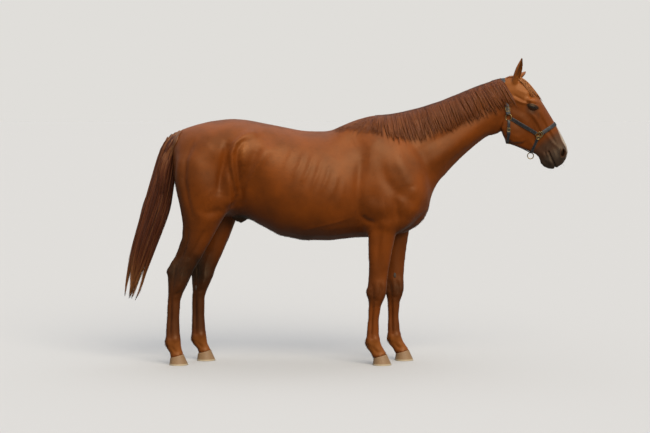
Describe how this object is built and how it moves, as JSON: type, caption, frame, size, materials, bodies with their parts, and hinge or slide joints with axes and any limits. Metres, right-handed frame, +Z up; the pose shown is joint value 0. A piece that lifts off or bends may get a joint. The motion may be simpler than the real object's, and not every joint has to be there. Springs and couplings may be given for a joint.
{
  "type": "horse",
  "caption": "Life-size chestnut riding horse standing with its head raised, a short mane, a long tail and a leather headcollar.",
  "frame": {"origin": "on the floor, below the middle of the horse's outer box", "axes": "+X the way the horse faces, +Y its left side, +Z up"},
  "size_m": [2.876, 0.588, 1.9686],
  "materials": {
    "coat": "short glossy chestnut hair",
    "mane": "coarse red-brown hair",
    "tail": "long dark liver hair, lighter at the tips",
    "horn": "tan horn with fine growth rings",
    "eye": "wet, nearly black brown",
    "dark_skin": "bare black skin",
    "leather": "worn black leather",
    "brass": "dull pale brass"
  },
  "bodies": {
    "root": {"head": "coat", "neck": "coat", "trunk": "coat", "foreleg_right": "coat", "foreleg_left": "coat", "hindleg_right": "coat", "hindleg_left": "coat", "ear_right": "coat", "ear_left": "coat", "eye_right": "eye", "eye_left": "eye", "hoof_fore_right": "horn", "hoof_fore_left": "horn", "hoof_hind_right": "horn", "hoof_hind_left": "horn", "mane": "mane", "forelock": "mane", "tail": "tail", "sheath": "dark_skin", "crown_strap": "leather", "noseband": "leather", "cheek_strap_right": "leather", "cheek_strap_left": "leather", "throat_strap": "leather", "chin_strap": "leather", "jaw_strap": "leather", "upper_ring_right": "brass", "upper_ring_left": "brass", "nose_ring_right": "brass", "nose_ring_left": "brass", "throat_ring": "brass", "lead_ring": "brass"}
  },
  "joints": []
}
